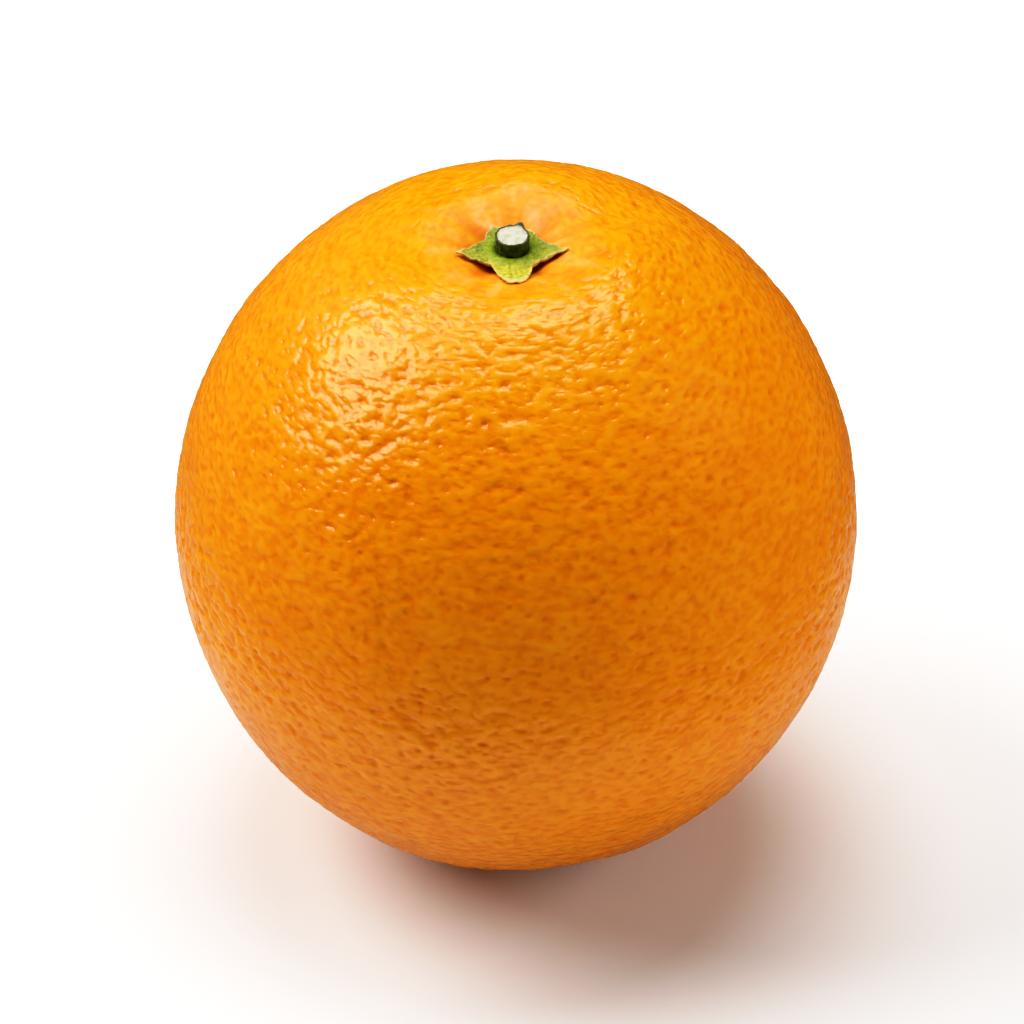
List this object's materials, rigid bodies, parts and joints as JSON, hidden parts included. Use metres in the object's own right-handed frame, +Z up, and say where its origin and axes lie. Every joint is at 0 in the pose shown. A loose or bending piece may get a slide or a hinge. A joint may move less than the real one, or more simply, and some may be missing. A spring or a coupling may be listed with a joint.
{
  "type": "orange",
  "caption": "Whole sweet orange with pebbled peel, a shallow dimple at the stem end, a green star-shaped calyx and a short cut stem; stands on a small flat spot.",
  "frame": {"origin": "centre of the small flat spot that the fruit rests on", "axes": "+Z up along the fruit's core towards the stem end; one lobe of the calyx points along -Y"},
  "size_m": [0.078, 0.078, 0.0808],
  "materials": {
    "peel": "waxy semi-gloss orange peel, pebbled with oil glands",
    "calyx": "matt yellow-green sepal, dried and tan at the tips",
    "stem": "matt dark green bark with a pale fibrous cut face"
  },
  "bodies": {
    "root": {"fruit": "peel", "calyx": "calyx", "stem_stub": "stem"}
  },
  "joints": []
}
